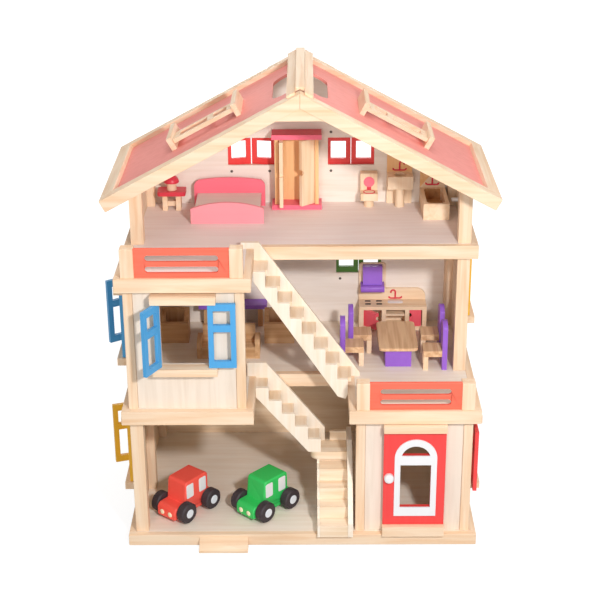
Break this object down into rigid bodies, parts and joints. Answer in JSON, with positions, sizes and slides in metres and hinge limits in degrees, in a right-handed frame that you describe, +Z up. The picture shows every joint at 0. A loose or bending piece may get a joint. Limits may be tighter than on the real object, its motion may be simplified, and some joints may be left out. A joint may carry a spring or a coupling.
{
  "type": "dollhouse",
  "caption": "Open-fronted wooden dollhouse with bay, balcony, stairs, hinged shutters and door, roof with carrying handle, toy furniture and two rolling cars.",
  "frame": {"origin": "centre of the body's footprint (beams to back wall) on the floor", "axes": "+Z up, -Y towards the open front, +X to the right seen from the front"},
  "size_m": [0.6057, 0.3962, 0.7165],
  "materials": {
    "pine": "satin",
    "whitewash": "matte",
    "salmon": "satin",
    "red": "satin",
    "blue": "satin",
    "yellow": "satin",
    "green": "satin",
    "car_red": "satin",
    "car_green": "satin",
    "tyre": "satin",
    "pink": "satin"
  },
  "bodies": {
    "house": {"attic_floor_beams": "pine", "attic_floor_panel": "pine", "attic_posts": "pine", "back_walls": "whitewash", "base_beams": "pine", "base_panel": "pine", "bathroom_furniture": "pine", "bedroom_furniture": "pink", "car_ramp": "pine", "dining_set": "pine", "front_stair": "pine", "front_walls": "whitewash", "green_car": "car_green", "ground_posts": "pine", "kitchen_unit": "pine", "left_walls": "whitewash", "living_furniture": "pine", "lower_stair": "pine", "railing_posts": "pine", "railings": "red", "red_car": "car_red", "ridge_boards": "pine", "right_walls": "whitewash", "roof_frames": "pine", "roof_panels": "salmon", "roof_window_strips": "pine", "upper_floor_beams": "pine", "upper_floor_panel": "pine", "upper_posts": "pine", "upper_stair": "pine", "wardrobe": "pine", "window_strips": "pine"},
    "bay_left_shutter": {"bay_left_shutter": "blue"},
    "bay_right_shutter": {"bay_right_shutter": "blue"},
    "left_upper_front_shutter": {"left_upper_front_shutter": "blue"},
    "left_upper_rear_shutter": {"left_upper_rear_shutter": "blue"},
    "left_lower_front_shutter": {"left_lower_front_shutter": "yellow"},
    "left_lower_rear_shutter": {"left_lower_rear_shutter": "yellow"},
    "right_lower_front_shutter": {"right_lower_front_shutter": "red"},
    "right_lower_rear_shutter": {"right_lower_rear_shutter": "red"},
    "right_upper_front_shutter": {"right_upper_front_shutter": "green"},
    "right_upper_rear_shutter": {"right_upper_rear_shutter": "green"},
    "attic_left_left_shutter": {"attic_left_left_shutter": "red"},
    "attic_left_right_shutter": {"attic_left_right_shutter": "red"},
    "attic_right_left_shutter": {"attic_right_left_shutter": "red"},
    "attic_right_right_shutter": {"attic_right_right_shutter": "red"},
    "kitchen_left_shutter": {"kitchen_left_shutter": "green"},
    "kitchen_right_shutter": {"kitchen_right_shutter": "green"},
    "front_door": {"front_door": "red"},
    "left_roof_window": {"left_roof_window": "pine"},
    "right_roof_window": {"right_roof_window": "pine"},
    "wardrobe_left_door": {"wardrobe_left_door": "pine"},
    "wardrobe_right_door": {"wardrobe_right_door": "pine"},
    "kitchen_left_door": {"kitchen_left_door": "red"},
    "kitchen_right_door": {"kitchen_right_door": "red"},
    "red_car_front_axle": {"red_car_front_axle": "tyre"},
    "red_car_rear_axle": {"red_car_rear_axle": "tyre"},
    "green_car_front_axle": {"green_car_front_axle": "tyre"},
    "green_car_rear_axle": {"green_car_rear_axle": "tyre"}
  },
  "joints": [
    {"name": "bay_left_shutter_pivot", "type": "hinge", "parent": "house", "child": "bay_left_shutter", "pos_m": [-0.213, -0.171, 0.3655], "axis": [0, 0, -1], "range_deg": [-118, 62]},
    {"name": "bay_right_shutter_pivot", "type": "hinge", "parent": "house", "child": "bay_right_shutter", "pos_m": [-0.135, -0.171, 0.3655], "axis": [0, 0, 1], "range_deg": [-180, 0]},
    {"name": "left_upper_front_shutter_pivot", "type": "hinge", "parent": "house", "child": "left_upper_front_shutter", "pos_m": [-0.271, -0.122, 0.3605], "axis": [0, 0, 1], "range_deg": [0, 180]},
    {"name": "left_upper_rear_shutter_pivot", "type": "hinge", "parent": "house", "child": "left_upper_rear_shutter", "pos_m": [-0.271, -0.05, 0.3605], "axis": [0, 0, -1], "range_deg": [-56, 124]},
    {"name": "left_lower_front_shutter_pivot", "type": "hinge", "parent": "house", "child": "left_lower_front_shutter", "pos_m": [-0.271, -0.122, 0.1415], "axis": [0, 0, 1], "range_deg": [0, 180]},
    {"name": "left_lower_rear_shutter_pivot", "type": "hinge", "parent": "house", "child": "left_lower_rear_shutter", "pos_m": [-0.271, -0.05, 0.1415], "axis": [0, 0, -1], "range_deg": [-72, 108]},
    {"name": "right_lower_front_shutter_pivot", "type": "hinge", "parent": "house", "child": "right_lower_front_shutter", "pos_m": [0.271, -0.122, 0.1415], "axis": [0, 0, -1], "range_deg": [-180, 0]},
    {"name": "right_lower_rear_shutter_pivot", "type": "hinge", "parent": "house", "child": "right_lower_rear_shutter", "pos_m": [0.271, -0.05, 0.1415], "axis": [0, 0, 1], "range_deg": [0, 180]},
    {"name": "right_upper_front_shutter_pivot", "type": "hinge", "parent": "house", "child": "right_upper_front_shutter", "pos_m": [0.271, 0.032, 0.3605], "axis": [0, 0, -1], "range_deg": [0, 180]},
    {"name": "right_upper_rear_shutter_pivot", "type": "hinge", "parent": "house", "child": "right_upper_rear_shutter", "pos_m": [0.271, 0.104, 0.3605], "axis": [0, 0, 1], "range_deg": [0, 180]},
    {"name": "attic_left_left_shutter_pivot", "type": "hinge", "parent": "house", "child": "attic_left_left_shutter", "pos_m": [-0.1215, 0.179, 0.5455], "axis": [0, 0, 1], "range_deg": [-12, 168]},
    {"name": "attic_left_right_shutter_pivot", "type": "hinge", "parent": "house", "child": "attic_left_right_shutter", "pos_m": [-0.0445, 0.179, 0.5455], "axis": [0, 0, -1], "range_deg": [-12, 168]},
    {"name": "attic_right_left_shutter_pivot", "type": "hinge", "parent": "house", "child": "attic_right_left_shutter", "pos_m": [0.0445, 0.179, 0.5455], "axis": [0, 0, 1], "range_deg": [0, 180]},
    {"name": "attic_right_right_shutter_pivot", "type": "hinge", "parent": "house", "child": "attic_right_right_shutter", "pos_m": [0.1215, 0.179, 0.5455], "axis": [0, 0, -1], "range_deg": [0, 180]},
    {"name": "kitchen_left_shutter_pivot", "type": "hinge", "parent": "house", "child": "kitchen_left_shutter", "pos_m": [0.059, 0.179, 0.3515], "axis": [0, 0, 1], "range_deg": [0, 180]},
    {"name": "kitchen_right_shutter_pivot", "type": "hinge", "parent": "house", "child": "kitchen_right_shutter", "pos_m": [0.136, 0.179, 0.3515], "axis": [0, 0, -1], "range_deg": [0, 180]},
    {"name": "front_door_pivot", "type": "hinge", "parent": "house", "child": "front_door", "pos_m": [0.217, -0.168, 0.12], "axis": [0, 0, 1], "range_deg": [0, 170]},
    {"name": "left_roof_window_pivot", "type": "hinge", "parent": "house", "child": "left_roof_window", "pos_m": [-0.10239, 0.0065, 0.66226], "axis": [0.8799, 0, 0.4751], "range_deg": [0, 180]},
    {"name": "right_roof_window_pivot", "type": "hinge", "parent": "house", "child": "right_roof_window", "pos_m": [0.10239, 0.0065, 0.66226], "axis": [0.8799, 0, -0.4751], "range_deg": [0, 180]},
    {"name": "wardrobe_left_door_pivot", "type": "hinge", "parent": "house", "child": "wardrobe_left_door", "pos_m": [-0.0324, 0.1386, 0.524], "axis": [0, 0, -1], "range_deg": [-90, 5]},
    {"name": "wardrobe_right_door_pivot", "type": "hinge", "parent": "house", "child": "wardrobe_right_door", "pos_m": [0.0184, 0.1386, 0.524], "axis": [0, 0, 1], "range_deg": [-40, 55]},
    {"name": "kitchen_left_door_pivot", "type": "hinge", "parent": "house", "child": "kitchen_left_door", "pos_m": [0.1101, 0.1326, 0.26], "axis": [0, 0, -1], "range_deg": [-45, 50]},
    {"name": "kitchen_right_door_pivot", "type": "hinge", "parent": "house", "child": "kitchen_right_door", "pos_m": [0.2009, 0.1326, 0.26], "axis": [0, 0, 1], "range_deg": [0, 95]},
    {"name": "red_car_front_axle_pivot", "type": "hinge", "parent": "house", "child": "red_car_front_axle", "pos_m": [-0.20744, -0.11435, 0.0361], "axis": [0.7771, -0.6293, 0], "continuous": true},
    {"name": "red_car_rear_axle_pivot", "type": "hinge", "parent": "house", "child": "red_car_rear_axle", "pos_m": [-0.17156, -0.07005, 0.0361], "axis": [0.7771, -0.6293, 0], "continuous": true},
    {"name": "green_car_front_axle_pivot", "type": "hinge", "parent": "house", "child": "green_car_front_axle", "pos_m": [-0.07995, -0.11104, 0.0361], "axis": [0.7278, -0.6858, 0], "continuous": true},
    {"name": "green_car_rear_axle_pivot", "type": "hinge", "parent": "house", "child": "green_car_rear_axle", "pos_m": [-0.04085, -0.06956, 0.0361], "axis": [0.7278, -0.6858, 0], "continuous": true}
  ]
}
